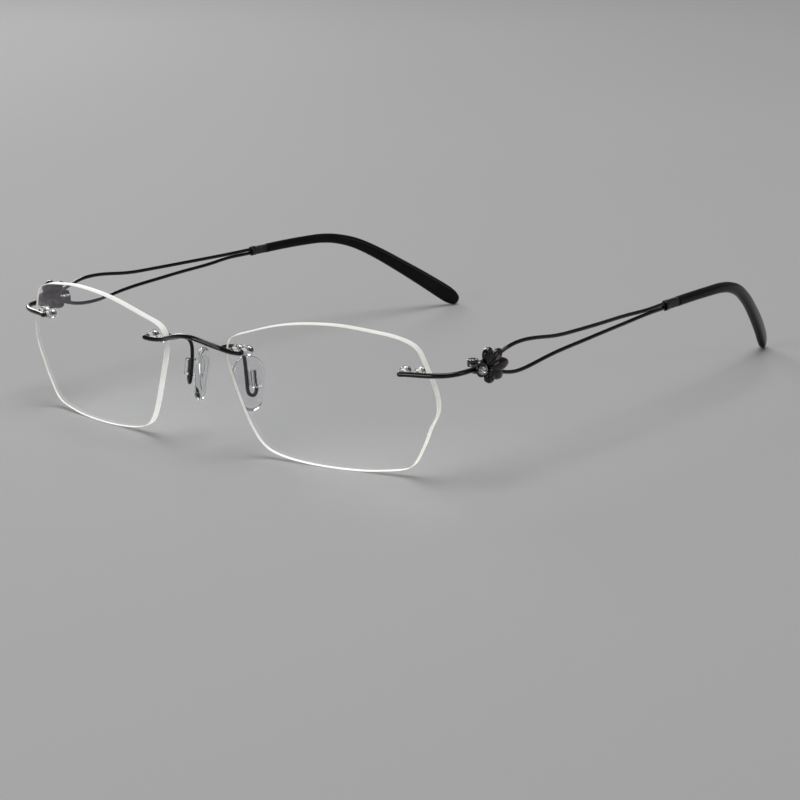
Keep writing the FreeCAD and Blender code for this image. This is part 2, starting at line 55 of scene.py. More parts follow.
# --------------------------------------------------------------------------- mesh tools


def new_piece(name, mesh, side, body, stands_for, materials, smooth=True):
    """An object from a bmesh in millimetres of the left half, mirrored for the right one."""
    if side < 0:
        bmesh.ops.scale(mesh, vec=Vector((-1, 1, 1)), verts=mesh.verts)
        bmesh.ops.reverse_faces(mesh, faces=mesh.faces)
    bmesh.ops.scale(mesh, vec=Vector((MM, MM, MM)), verts=mesh.verts)
    for face in mesh.faces:
        face.smooth = smooth
    data = bpy.data.meshes.new(name)
    mesh.to_mesh(data)
    mesh.free()
    for material in materials:
        data.materials.append(material)
    item = bpy.data.objects.new(name, data)
    bpy.context.scene.collection.objects.link(item)
    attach(item, body)
    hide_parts(*stands_for)
    return item


def sharpen(item, degrees):
    """Keeps edges that turn more than an angle crisp under smooth shading."""
    limit = math.radians(degrees)
    mesh = bmesh.new()
    mesh.from_mesh(item.data)
    for edge in mesh.edges:
        edge.smooth = not (len(edge.link_faces) == 2 and edge.calc_face_angle() > limit)
    mesh.to_mesh(item.data)
    mesh.free()


def loft(mesh, rings, closed=True):
    """Faces between rings of points; if closed, with a fan over the first and the last ring."""
    rows = [[mesh.verts.new(point) for point in ring] for ring in rings]
    for low, high in zip(rows, rows[1:]):
        for number in range(len(low)):
            after = (number + 1) % len(low)
            mesh.faces.new((low[number], low[after], high[after], high[number]))
    if closed:
        for row, flip in ((rows[0], True), (rows[-1], False)):
            middle = mesh.verts.new(sum((vert.co for vert in row), Vector()) / len(row))
            for number in range(len(row)):
                after = (number + 1) % len(row)
                corners = (row[number], row[after], middle)
                mesh.faces.new(corners[::-1] if flip else corners)
    return rows


def lathe(mesh, base, axis, profile, count=40, tube=False, shape=None):
    """A turned shape: the profile's (distance along the axis, radius) pairs spun round it.

    A tube's profile closes on itself. A shape gives each direction's share of the radius.
    """
    side = any_side(axis)
    other = axis.cross(side)
    rings = []
    for reach, radius in profile:
        ring = []
        for number in range(count):
            turn = 2 * math.pi * number / count
            wide = radius * (shape(turn, radius) if shape else 1)
            ring.append(base + axis * reach + (side * math.cos(turn) + other * math.sin(turn)) * wide)
        rings.append(ring)
    rows = loft(mesh, rings, closed=not tube)
    if tube:
        for number in range(count):
            after = (number + 1) % count
            mesh.faces.new((rows[-1][number], rows[-1][after], rows[0][after], rows[0][number]))


def any_side(axis):
    """A direction square to an axis."""
    helper = Vector((0, 0, 1)) if abs(axis.z) < 0.9 else Vector((1, 0, 0))
    return helper.cross(axis).normalized()


def spline(points, share):
    """A smooth curve through points at a share from 0 to 1 of its run, one step per point."""
    last = len(points) - 1
    place = min(max(share, 0.0), 1.0) * last
    number = min(int(place), last - 1)
    part = place - number
    before = points[max(number - 1, 0)]
    start, end = points[number], points[number + 1]
    after = points[min(number + 2, last)]
    result = []
    for a, b, c, d in zip(before, start, end, after):
        result.append(
            0.5 * (2 * b + (c - a) * part + (2 * a - 5 * b + 4 * c - d) * part**2
                   + (3 * b - a - 3 * c + d) * part**3)
        )
    return result


def cad_mesh(node, weld):
    """A CAD node's mesh in metres with its seams welded, points nearer than a distance merged."""
    mesh = bmesh.new()
    mesh.from_mesh(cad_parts[node].data)
    bmesh.ops.remove_doubles(mesh, verts=mesh.verts, dist=weld)
    return mesh


def to_left_half(mesh, side):
    """Brings a mesh in metres to the millimetres of the left half that new_piece takes."""
    bmesh.ops.scale(mesh, vec=Vector((side / MM, 1 / MM, 1 / MM)), verts=mesh.verts)
    if side < 0:
        bmesh.ops.reverse_faces(mesh, faces=mesh.faces)


FLAT_ANGLE, BEVEL_ANGLE = math.radians(1), math.radians(35)
BEVEL_STEPS = 3


def cad_copy(name, node, side, body, materials, bevel):
    """A copy of a CAD node with flat faces joined and its sharp edges rounded."""
    mesh = cad_mesh(node, 2e-6)
    bmesh.ops.dissolve_limit(mesh, angle_limit=FLAT_ANGLE, verts=mesh.verts, edges=mesh.edges)
    to_left_half(mesh, side)
    item = new_piece(name, mesh, side, body, [node], materials)
    rounding = item.modifiers.new("rounding", "BEVEL")
    rounding.width = bevel * MM
    rounding.segments = BEVEL_STEPS
    rounding.limit_method = "ANGLE"
    rounding.angle_limit = BEVEL_ANGLE
    rounding.harden_normals = True


# ---------------------------------------------------------------------------- materials


def new_material(name):
    material = bpy.data.materials.new(name)
    material.use_nodes = True
    tree = material.node_tree
    return material, tree, tree.nodes["Principled BSDF"]


def node(tree, kind, **settings):
    item = tree.nodes.new(kind)
    for key, value in settings.items():
        if key in item.inputs:
            item.inputs[key].default_value = value
        else:
            setattr(item, key, value)
    return item


def pattern(tree, kind, scale, **settings):
    """A procedural pattern in the object's own space, in features per millimetre."""
    place = node(tree, "ShaderNodeTexCoord")
    item = node(tree, kind, **settings)
    item.inputs["Scale"].default_value = scale / MM
    tree.links.new(place.outputs["Object"], item.inputs["Vector"])
    return item


def ramp(tree, source, stops):
    """A colour ramp over a pattern's value; each stop is a place and a colour."""
    item = node(tree, "ShaderNodeValToRGB")
    band = item.color_ramp
    while len(band.elements) < len(stops):
        band.elements.new(0.5)
    for element, (place, colour) in zip(band.elements, stops):
        element.position = place
        element.color = (*colour, 1)
    tree.links.new(source, item.inputs["Fac"])
    return item


def spread(tree, source, low, high):
    """A pattern's value stretched from low to high."""
    item = node(tree, "ShaderNodeMapRange")
    item.inputs["To Min"].default_value = low
    item.inputs["To Max"].default_value = high
    tree.links.new(source, item.inputs["Value"])
    return item.outputs["Result"]


def bump(tree, shader, source, depth, strength=1.0):
    """Relief of a depth in millimetres."""
    item = node(tree, "ShaderNodeBump", Strength=strength, Distance=depth * MM)
    tree.links.new(source, item.inputs["Height"])
    tree.links.new(item.outputs["Normal"], shader.inputs["Normal"])


def grey(value):
    return (value, value, value)


def metal_material(name, dark, light, rough, coat, grain, relief):
    """Lacquered or plated metal: slow tone changes, fine polishing marks and a clear coat.

    The grain is in marks per millimetre and the relief of the marks is in millimetres.
    """
    material, tree, shader = new_material(name)
    shader.inputs["Metallic"].default_value = 1.0
    shader.inputs["Coat Weight"].default_value = coat
    shader.inputs["Coat Roughness"].default_value = 0.06
    tone = pattern(tree, "ShaderNodeTexNoise", 0.35, Detail=3.0, Roughness=0.6)
    marks = pattern(tree, "ShaderNodeTexNoise", grain, Detail=4.0, Roughness=0.7)
    colour = ramp(tree, tone.outputs["Fac"], [(0.35, dark), (0.7, light)])
    tree.links.new(colour.outputs["Color"], shader.inputs["Base Color"])
    tree.links.new(spread(tree, marks.outputs["Fac"], rough * 0.7, rough * 1.4), shader.inputs["Roughness"])
    bump(tree, shader, marks.outputs["Fac"], relief)
    return material


def clear_material(name, colour, ior, low, high, grain, relief, tint=(1, 1, 1, 1)):
    """Clear glass or plastic that lets lamps through, with faint surface waves.

    The roughness drifts from low to high with the waves, and the tint colours the reflections.
    """
    material, tree, shader = new_material(name)
    shader.inputs["Base Color"].default_value = (*colour, 1)
    shader.inputs["Transmission Weight"].default_value = 1.0
    shader.inputs["IOR"].default_value = ior
    shader.inputs["Specular Tint"].default_value = tint
    waves = pattern(tree, "ShaderNodeTexNoise", grain, Detail=2.0)
    tree.links.new(spread(tree, waves.outputs["Fac"], low, high), shader.inputs["Roughness"])
    bump(tree, shader, waves.outputs["Fac"], relief)
    through = node(tree, "ShaderNodeBsdfTransparent")
    through.inputs["Color"].default_value = (*colour, 1)
    path = node(tree, "ShaderNodeLightPath")
    mix = node(tree, "ShaderNodeMixShader")
    tree.links.new(path.outputs["Is Shadow Ray"], mix.inputs[0])
    tree.links.new(shader.outputs[0], mix.inputs[1])
    tree.links.new(through.outputs[0], mix.inputs[2])
    tree.links.new(mix.outputs[0], tree.nodes["Material Output"].inputs["Surface"])
    return material


# The share of light that passes through the ground lens edge.
EDGE_GLOW = 0.4


def ground_edge_material():
    """The lens edge as ground and half polished: creamy white, mottled, and partly see-through."""
    material, tree, shader = new_material("lens_edge")
    streaks = pattern(tree, "ShaderNodeTexNoise", 2.5, Detail=5.0, Roughness=0.75)
    slow = pattern(tree, "ShaderNodeTexNoise", 0.12, Detail=2.0)
    colour = ramp(tree, slow.outputs["Fac"], [(0.35, (0.93, 0.90, 0.84)), (0.65, (0.97, 0.97, 0.95))])
    tree.links.new(colour.outputs["Color"], shader.inputs["Base Color"])
    tree.links.new(spread(tree, streaks.outputs["Fac"], 0.35, 0.6), shader.inputs["Roughness"])
    bump(tree, shader, streaks.outputs["Fac"], 0.01)
    through = node(tree, "ShaderNodeBsdfTranslucent")
    tree.links.new(colour.outputs["Color"], through.inputs["Color"])
    mix = node(tree, "ShaderNodeMixShader")
    mix.inputs[0].default_value = EDGE_GLOW
    tree.links.new(shader.outputs[0], mix.inputs[1])
    tree.links.new(through.outputs[0], mix.inputs[2])
    tree.links.new(mix.outputs[0], tree.nodes["Material Output"].inputs["Surface"])
    return material


def tip_material():
    """Black plastic with a fine moulded grain and slightly polished patches."""
    material, tree, shader = new_material("tip_plastic")
    grain = pattern(tree, "ShaderNodeTexVoronoi", 7.0)
    slow = pattern(tree, "ShaderNodeTexNoise", 0.18, Detail=4.0, Roughness=0.6)
    stops = [(0.35, (0.0025, 0.0025, 0.003)), (0.7, (0.006, 0.006, 0.007))]
    colour = ramp(tree, slow.outputs["Fac"], stops)
    tree.links.new(colour.outputs["Color"], shader.inputs["Base Color"])
    tree.links.new(spread(tree, slow.outputs["Fac"], 0.18, 0.30), shader.inputs["Roughness"])
    shader.inputs["Specular IOR Level"].default_value = 0.08
    shader.inputs["Coat Weight"].default_value = 0.12
    shader.inputs["Coat Roughness"].default_value = 0.12
    bump(tree, shader, grain.outputs["Distance"], 0.006, 0.5)
    return material


def flower_material():
    """Dark anodised casting: near black, with wine-red glints where the tone drifts."""
    material, tree, shader = new_material("flower_metal")
    tone = pattern(tree, "ShaderNodeTexNoise", 0.55, Detail=5.0, Roughness=0.65)
    marks = pattern(tree, "ShaderNodeTexNoise", 6.0, Detail=4.0, Roughness=0.7)
    stops = [(0.46, (0.005, 0.005, 0.007)), (0.60, (0.013, 0.006, 0.009)), (0.74, (0.09, 0.014, 0.026))]
    colour = ramp(tree, tone.outputs["Fac"], stops)
    tree.links.new(colour.outputs["Color"], shader.inputs["Base Color"])
    tree.links.new(spread(tree, marks.outputs["Fac"], 0.08, 0.18), shader.inputs["Roughness"])
    shader.inputs["Metallic"].default_value = 1.0
    shader.inputs["Coat Weight"].default_value = 0.8
    shader.inputs["Coat Roughness"].default_value = 0.05
    bump(tree, shader, marks.outputs["Fac"], 0.006)
    return material


BLACK = metal_material("black_lacquer", grey(0.006), (0.014, 0.013, 0.016), 0.16, 0.6, 5.0, 0.003)
HINGE_METAL = metal_material("hinge_metal", grey(0.03), grey(0.09), 0.20, 0.5, 6.0, 0.006)
SCREW = metal_material("screw_metal", grey(0.22), grey(0.42), 0.20, 0.4, 7.0, 0.006)
FERRULE_METAL = metal_material(
    "ferrule_metal", (0.02, 0.02, 0.023), (0.055, 0.055, 0.06), 0.30, 0.3, 9.0, 0.012
)
FLOWER_METAL = flower_material()
TIP = tip_material()
EDGE = ground_edge_material()
LENS = clear_material(
    "lens_coated", (0.985, 0.985, 0.99), 1.37, 0.0, 0.006, 0.05, 0.0004, (0.82, 0.45, 1.0, 1)
)
SILICONE = clear_material("clear_silicone", (0.91, 0.92, 0.935), 1.49, 0.01, 0.05, 0.5, 0.006)
CLEAR = clear_material("clear_plastic", (0.975, 0.978, 0.98), 1.49, 0.01, 0.05, 0.9, 0.006)
STONE = clear_material("crystal", (0.995, 0.995, 1.0), 1.90, 0.0, 0.01, 0.4, 0.0005)

# ------------------------------------------------------------------------------- lenses

LENS_MIDDLE = at(35.8, 1.8, 11.97)
LENS_RADIUS = 130.0
LENS_WRAP, LENS_TILT = math.radians(7.9), math.radians(5.6)
LENS_AXES = Matrix.Rotation(LENS_WRAP, 3, "Z") @ Matrix.Rotation(LENS_TILT, 3, "X")
# Faces nearer to the lens axis than this cosine are polished; the others are the ground edge.
POLISHED_COSINE = 0.90


def lens_normal(across, up):
    """The outward normal of the left lens front at a point from the lens middle."""
    depth = math.sqrt(LENS_RADIUS**2 - across**2 - up**2)
    return LENS_AXES @ Vector((across, -depth, up)) / LENS_RADIUS


def over_lens(across, up):
    """The point of the left lens front at a distance across and up from the lens middle."""
    centre = LENS_MIDDLE + LENS_AXES @ Vector((0, LENS_RADIUS, 0))
    return centre + lens_normal(across, up) * LENS_RADIUS


def make_lens(label, side):
    """The CAD lens with its faces kept clear and its edge, bevels and bores left ground."""
    name = f"lens_{label}"
    mesh = cad_mesh(name, 1e-6)
    axis = Vector((side * math.sin(LENS_WRAP), -math.cos(LENS_WRAP), math.sin(LENS_TILT))).normalized()
    for face in mesh.faces:
        face.material_index = 0 if abs(face.normal.dot(axis)) > POLISHED_COSINE else 1
    to_left_half(mesh, side)
    item = new_piece(f"lens_glass_{label}", mesh, side, "front", [name], [LENS, EDGE])
    sharpen(item, 20)


for label, side in SIDES:
    make_lens(label, side)

# ------------------------------------------------------------------------------ bushings

# Where the posts go through the lens, across and up from the lens middle.
NASAL_POSTS = [(-21.1, 11.3), (-24.1, 11.1)]
TEMPORAL_POSTS = [(20.2, 10.7), (23.6, 10.7)]
# From the lens front back: the thin sleeve in the bore, then the collar with soft edges.
BUSHING = [
    (0.05, 0.50), (0.05, 0.66), (0.12, 0.70), (1.62, 0.70), (1.66, 0.78), (1.66, 1.00),
    (1.70, 1.09), (1.80, 1.14), (1.95, 1.15), (2.85, 1.15), (3.05, 1.11), (3.20, 1.02),
    (3.30, 0.88), (3.33, 0.70), (3.28, 0.55), (3.15, 0.50),
]


def make_bushing(name, label, side, across, up):
    mesh = bmesh.new()
    lathe(mesh, over_lens(across, up), -lens_normal(across, up), BUSHING, 48, tube=True)
    node_name = f"{name}_{label}"
    new_piece(f"{name}_clear_{label}", mesh, side, "front", [node_name], [CLEAR])


for label, side in SIDES:
    for group, places in (("nasal_bushing", NASAL_POSTS), ("temporal_bushing", TEMPORAL_POSTS)):
        for number, (across, up) in enumerate(places, start=1):
            make_bushing(f"{group}_{number}", label, side, across, up)

# ----------------------------------------------------------------------------- nose pads

PAD_MIDDLE = at(7.83, 9.26, 13.85)
PAD_YAW = math.radians(62.0)
PAD_ACROSS = Vector((math.cos(PAD_YAW), math.sin(PAD_YAW), 0))
PIN_LINE = at(10.40, 8.38, 17.40) - at(10.95, 8.15, 12.90)
PAD_OUT = PAD_ACROSS.cross(PIN_LINE).normalized()
PAD_UP = PAD_OUT.cross(PAD_ACROSS)
# The radii of the outline's arcs and half its height.
PAD_BIG, PAD_SMALL, PAD_HALF = 3.65, 2.409, 6.15
# From the back's middle over the soft rim to the front's middle: the share of the outline's
# size, and the height over the pad's mid plane.
PAD_PROFILE = [
    (0.22, 0.70), (0.42, 0.70), (0.58, 0.73), (0.70, 0.82), (0.79, 0.89), (0.87, 0.87),
    (0.93, 0.76), (0.975, 0.52), (1.00, 0.18), (1.00, -0.16), (0.975, -0.44), (0.93, -0.62),
    (0.84, -0.76), (0.68, -0.84), (0.48, -0.88), (0.25, -0.90),
]


def pad_outline():
    """A teardrop: a big arc above, a small arc below, and flanks with points along them."""
    high, low = Vector((0, PAD_HALF - PAD_BIG)), Vector((0, PAD_SMALL - PAD_HALF))
    lean = math.asin((PAD_BIG - PAD_SMALL) / (high.y - low.y))
    arc_steps, flank_steps = 28, 6
    points = []
    for centre, radius, start, sweep, other, other_radius in (
        (high, PAD_BIG, -lean, math.pi + 2 * lean, low, PAD_SMALL),
        (low, PAD_SMALL, math.pi + lean, math.pi - 2 * lean, high, PAD_BIG),
    ):
        for number in range(arc_steps + 1):
            turn = start + sweep * number / arc_steps
            points.append(centre + Vector((math.cos(turn), math.sin(turn))) * radius)
        flank_end = other + Vector((math.cos(turn), math.sin(turn))) * other_radius
        flank_start = points[-1]
        points += [flank_start.lerp(flank_end, share / flank_steps) for share in range(1, flank_steps)]
    return points


def make_nose_pad(label, side):
    outline = pad_outline()
    rings = []
    for share, height in PAD_PROFILE:
        rings.append([
            PAD_MIDDLE + PAD_ACROSS * point.x * share + PAD_UP * point.y * share + PAD_OUT * height
            for point in outline
        ])
    mesh = bmesh.new()
    loft(mesh, rings)
    bmesh.ops.recalc_face_normals(mesh, faces=mesh.faces)
    name = f"nose_pad_{label}"
    item = new_piece(
        f"nose_pad_soft_{label}", mesh, side, f"pad_{label}", [name], [SILICONE]
    )
    smooth = item.modifiers.new("smooth", "SUBSURF")
    smooth.levels = smooth.render_levels = 1


INSERT_ROUNDING = 0.22

for label, side in SIDES:
    make_nose_pad(label, side)
    cad_copy(
        f"pad_insert_clear_{label}", f"pad_insert_{label}", side, f"pad_{label}",
        [CLEAR], INSERT_ROUNDING,
    )

# -------------------------------------------------------------------------------- hinges

# The foot of the hinge axis, and how far above it the screw head sits.
HINGE = at(63.40, 19.20, 22.60)
SCREW_SEAT = 1.27
TEETH = 12
TOOTH_DEPTH = 0.15
# The radius where the teeth begin, and how far outward from there they reach full depth.
TOOTH_START, TOOTH_FADE = 0.72, 0.34


def toothed(turn, radius):
    """Rounded grooves round the screw head's edge, fading towards its middle."""
    groove = max(0.0, math.cos(turn * TEETH)) ** 3
    return 1 - TOOTH_DEPTH * groove * min(1.0, max(0.0, (radius - TOOTH_START) / TOOTH_FADE))


# The screw head from its seat up: toothed rim, sunk ring, and a raised middle.
SCREW_HEAD = [
    (0.00, 0.40), (0.00, 1.05), (0.03, 1.15), (0.07, 1.19), (0.13, 1.20), (0.20, 1.19), (0.25, 1.14),
    (0.29, 1.04), (0.30, 0.92), (0.28, 0.85), (0.20, 0.81), (0.17, 0.75), (0.17, 0.65),
    (0.20, 0.60), (0.27, 0.58), (0.29, 0.54), (0.30, 0.48),
]
SCREW_SHANK = [(-0.20, 0.24), (-0.18, 0.34), (-0.13, 0.39), (-0.06, 0.40), (1.25, 0.40), (1.30, 0.39)]
HEAD_COUNT = 12 * TEETH
# The driver slot's cutter: its length, width and height, its middle over the seat, its turn.
SLOT_SIZE = Vector((1.62, 0.34, 0.40))
SLOT_RISE = 0.38
SLOT_TURN = math.radians(25)


def make_hinge_screw(label, side):
    mesh = bmesh.new()
    lathe(mesh, HINGE + UP * SCREW_SEAT, UP, SCREW_HEAD, HEAD_COUNT, shape=toothed)
    lathe(mesh, HINGE, UP, SCREW_SHANK)
    bmesh.ops.recalc_face_normals(mesh, faces=mesh.faces)
    item = new_piece(
        f"screw_toothed_{label}", mesh, side, f"temple_{label}",
        [f"hinge_screw_{label}"], [SCREW],
    )
    cut_slot(item, side)


def cut_slot(item, side):
    """Cuts the driver slot across the screw head."""
    cutter = bmesh.new()
    bmesh.ops.create_cube(cutter, size=1.0)
    bmesh.ops.scale(cutter, vec=SLOT_SIZE, verts=cutter.verts)
    turn = Matrix.Rotation(SLOT_TURN, 3, "Z")
    place = Vector((HINGE.x * side, HINGE.y, HINGE.z + SCREW_SEAT + SLOT_RISE))
    for vert in cutter.verts:
        vert.co = (turn @ vert.co + place) * MM
    data = bpy.data.meshes.new("slot_cutter")
    cutter.to_mesh(data)
    cutter.free()
    tool = bpy.data.objects.new("slot_cutter", data)
    bpy.context.scene.collection.objects.link(tool)
    slot_cut = item.modifiers.new("slot", "BOOLEAN")
    slot_cut.object = tool
    slot_cut.operation = "DIFFERENCE"
    slot_cut.solver = "EXACT"
    apply_modifiers(item)
    bpy.data.objects.remove(tool)
    sharpen(item, 40)


def apply_modifiers(item):
    """Replaces the mesh with what its modifiers make of it."""
    graph = bpy.context.evaluated_depsgraph_get()
    made = bpy.data.meshes.new_from_object(item.evaluated_get(graph))
    item.modifiers.clear()
    item.data = made


HINGE_ROUNDING = 0.10

for label, side in SIDES:
    make_hinge_screw(label, side)
    for part, body in (("hinge_front", "front"), ("hinge_rear", f"temple_{label}")):
        cad_copy(
            f"{part}_metal_{label}", f"{part}_{label}", side, body, [HINGE_METAL],
            HINGE_ROUNDING,
        )

# ------------------------------------------------------------------- flower, cup and stone

FLOWER = at(68.50, 17.30, 23.10)
DISC_MIDDLE = FLOWER - Vector((0, 0.8, 0))
CUP_MIDDLE = FLOWER - Vector((0, 1.6, 0))
# Each petal: its direction (0 is straight back, 90 is up), how far its end is from the flower's
# middle, how many ridges it has, and how far it stands out over its neighbours.
PETALS = [(72, 4.5, 4, 0.12), (30, 6.1, 4, 0.0), (1, 7.2, 0, 0.12), (-26, 5.8, 3, 0.0), (-60, 3.7, 3, 0.12)]
PETAL_ROWS, PETAL_COLUMNS = 26, 33
PETAL_START, PETAL_BACK = 0.9, -0.6
PETAL_HALF_WIDTH, PETAL_HEIGHT, RIDGE_DEPTH = 1.37, 0.82, 0.17
# The flat back's share of the petal's length and width.
BACK_LENGTH, BACK_WIDTH = 0.97, 0.9
# From the flower's back outward: the round disc, and the foot that stands on the hinge leaf.
DISC = [
    (-0.55, 1.50), (-0.52, 1.66), (-0.42, 1.75), (-0.25, 1.75), (-0.12, 1.66), (-0.08, 1.50),
    (-0.08, 1.0),
]
FOOT = [(-1.48, 0.60), (-1.45, 0.68), (-1.40, 0.70), (-0.4, 0.70), (-0.3, 0.60)]
FOOT_MIDDLE = FLOWER + Vector((0, 1.8, 0))
# The cup's outside up to its rolled lip and down its seat, and a claw from its root up.
CUP = [
    (-0.05, 0.70), (-0.05, 0.90), (0.05, 0.95), (0.55, 0.93), (0.75, 0.90), (0.95, 0.93),
    (1.08, 0.95), (1.15, 0.91), (1.14, 0.84), (1.00, 0.78), (0.70, 0.52), (0.45, 0.20), (0.44, 0.10),
]
CLAW = [(0.60, 0.06), (0.64, 0.13), (0.90, 0.15), (1.16, 0.15), (1.24, 0.12), (1.28, 0.05)]
CLAWS, CLAW_RING = 4, 0.80


def petal_point(share, place, angle, length, ridges, lift, low=False):
    """A point on a petal: a share along it and a place from -1 to 1 across it."""
    half = PETAL_HALF_WIDTH * max(0.0, math.sin(math.pi * share**1.3)) ** 0.6
    along = PETAL_START + (length - PETAL_START) * share
    line = Vector((0, math.cos(math.radians(angle)), math.sin(math.radians(angle))))
    across = OUT.cross(line)
    if low:
        back = line * (along * BACK_LENGTH) + across * half * place * BACK_WIDTH
        return FLOWER + back + OUT * PETAL_BACK
    dome = max(0.0, 1 - abs(place) ** 2.6) ** 0.5 * max(0.0, math.sin(math.pi * share**1.15)) ** 0.45
    fade = min(1.0, share * 3) * dome
    vein = 0.5 - 0.5 * math.cos(math.pi * ridges * (place + 1)) if ridges else 0.0
    groove = RIDGE_DEPTH * (1 - vein) * fade if ridges else 0.0
    height = lift - 0.05 + PETAL_HEIGHT * dome - groove
    return FLOWER + line * along + across * half * place + OUT * height


def add_petal(mesh, angle, length, ridges, lift):
    """A closed petal: ridged dome, rounded side and flat back."""
    top, bottom = [], []
    for row in range(PETAL_ROWS):
        turn = math.pi * (row + 0.35) / (PETAL_ROWS - 0.3)
        share = (1 - math.cos(turn)) / 2
        top_row, low_row = [], []
        for column in range(PETAL_COLUMNS):
            place = -math.cos(math.pi * column / (PETAL_COLUMNS - 1))
            place = place * 0.6 + (2 * column / (PETAL_COLUMNS - 1) - 1) * 0.4
            shape = (share, place, angle, length, ridges, lift)
            top_row.append(mesh.verts.new(petal_point(*shape)))
            low_row.append(mesh.verts.new(petal_point(*shape, low=True)))
        top.append(top_row)
        bottom.append(low_row)
    for row in range(PETAL_ROWS - 1):
        for column in range(PETAL_COLUMNS - 1):
            for grid in (top, bottom):
                mesh.faces.new((
                    grid[row][column], grid[row][column + 1],
                    grid[row + 1][column + 1], grid[row + 1][column],
                ))
    last_row, last_column = PETAL_ROWS - 1, PETAL_COLUMNS - 1
    edge = [(0, column) for column in range(last_column)]
    edge += [(row, last_column) for row in range(last_row)]
    edge += [(last_row, column) for column in range(last_column, 0, -1)]
    edge += [(row, 0) for row in range(last_row, 0, -1)]
    for (row, column), (next_row, next_column) in zip(edge, edge[1:] + edge[:1]):
        mesh.faces.new((
            top[row][column], top[next_row][next_column],
            bottom[next_row][next_column], bottom[row][column],
        ))


def make_flower(label, side):
    mesh = bmesh.new()
    for petal in PETALS:
        add_petal(mesh, *petal)
    lathe(mesh, DISC_MIDDLE, OUT, DISC)
    lathe(mesh, FOOT_MIDDLE, OUT, FOOT)
    bmesh.ops.recalc_face_normals(mesh, faces=mesh.faces)
    item = new_piece(
        f"flower_cast_{label}", mesh, side, f"temple_{label}",
        [f"flower_{label}"], [FLOWER_METAL],
    )
    sharpen(item, 50)


def make_stone_cup(label, side):
    """A turned cup with a rolled lip and four small claws over the stone's edge."""
    mesh = bmesh.new()
    lathe(mesh, CUP_MIDDLE, OUT, CUP, 48)
    for number in range(CLAWS):
        turn = math.radians(45 + 360 / CLAWS * number)
        place = Vector((0, math.cos(turn), math.sin(turn))) * CLAW_RING
        lathe(mesh, CUP_MIDDLE + place, OUT, CLAW, 16)
    bmesh.ops.recalc_face_normals(mesh, faces=mesh.faces)
    new_piece(
        f"stone_cup_turned_{label}", mesh, side, f"temple_{label}",
        [f"stone_cup_{label}"], [SCREW],
    )


# The stone's rings from its table back: height over the girdle, radius, corners, and turn in steps.
STONE_RINGS = [
    (0.29, 0.40, 8, 0.0), (0.17, 0.57, 8, 0.5), (0.03, 0.72, 16, 0.0), (-0.03, 0.72, 16, 0.0),
    (-0.30, 0.40, 8, 0.0),
]
GIRDLE_OUT, STONE_DEPTH = 1.05, 0.54


def make_stone(label, side):
    """A round brilliant: flat table, kite and triangle facets, girdle and pointed back."""
    mesh = bmesh.new()
    base = CUP_MIDDLE + OUT * GIRDLE_OUT
    rings = []
    for height, radius, count, offset in STONE_RINGS:
        ring = []
        for number in range(count):
            turn = 2 * math.pi * (number + offset) / count
            spot = Vector((0, math.cos(turn), math.sin(turn))) * radius
            ring.append(mesh.verts.new(base + spot + OUT * height))
        rings.append(ring)
    table, kite, girdle, under, pavilion = rings
    tip = mesh.verts.new(base - OUT * STONE_DEPTH)
    mesh.faces.new(table)
    for number in range(8):
        after = (number + 1) % 8
        outer, middle, inner = girdle[2 * number], girdle[2 * number + 1], girdle[(2 * number + 2) % 16]
        mesh.faces.new((table[number], kite[number], table[after]))
        mesh.faces.new((table[number], kite[number - 1], outer, kite[number]))
        mesh.faces.new((kite[number], outer, middle))
        mesh.faces.new((kite[number], middle, inner))
        low, mid, high = under[2 * number], under[2 * number + 1], under[(2 * number + 2) % 16]
        mesh.faces.new((low, mid, pavilion[number]))
        mesh.faces.new((mid, high, pavilion[after]))
        mesh.faces.new((mid, pavilion[after], pavilion[number]))
        mesh.faces.new((pavilion[number], pavilion[after], tip))
    for number in range(16):
        after = (number + 1) % 16
        mesh.faces.new((girdle[number], girdle[after], under[after], under[number]))
    bmesh.ops.recalc_face_normals(mesh, faces=mesh.faces)
    new_piece(
        f"stone_cut_{label}", mesh, side, f"temple_{label}", [f"stone_{label}"], [STONE],
        smooth=False,
    )


for label, side in SIDES:
    make_flower(label, side)
    make_stone_cup(label, side)
    make_stone(label, side)

# ---------------------------------------------------------------- ferrules and ear tips

FERRULE = at(65.60, 83.60, 23.72)
FERRULE_LINE = Vector((-0.07, 1, 0)).normalized()
# Along the ferrule: the distance from its front, and how far the skin is from the plain
# oval: a rolled rim, a groove and the start of the sleeve, then ribs, then a bead at its end.
FERRULE_SKIN = [
    (0.25, -0.62), (0.22, -0.30), (0.04, -0.20), (0.00, -0.08), (0.03, 0.03), (0.12, 0.09), (0.30, 0.10),
    (1.20, 0.10), (1.38, 0.08), (1.48, 0.01), (1.54, -0.05), (1.64, -0.06), (1.72, 0.0),
]
RIBS_START, FERRULE_RIBS, RIB_STEP = 1.72, 8, 0.36
RIB = [(0.06, 0.0), (0.15, 0.015), (0.24, 0.0), (0.31, -0.055)]
FERRULE_END = [
    (4.66, -0.05), (4.74, -0.05), (4.80, 0.02), (4.90, 0.05), (5.06, 0.05), (5.16, 0.01),
    (5.20, -0.08), (5.20, -0.40),
]
FERRULE_HALF_HEIGHT, FERRULE_HALF_WIDTH = 1.10, 0.81
FERRULE_POWER, FERRULE_COUNT = 2.3, 56


def squircle(turn, half_height, half_width, power):
    """A point's (across, up) on a rounded box; power 2 is an oval, more is squarer."""
    cosine, sine = math.cos(turn), math.sin(turn)
    share = 2 / power
    return (
        math.copysign(abs(cosine) ** share, cosine) * half_width,
        math.copysign(abs(sine) ** share, sine) * half_height,
    )


def section(middle, line, half_height, half_width, power, count):
    """A ring square to a line, upright."""
    side = UP.cross(line).normalized()
    above = line.cross(side)
    ring = []
    for number in range(count):
        across, up = squircle(2 * math.pi * number / count, half_height, half_width, power)
        ring.append(middle + side * across + above * up)
    return ring


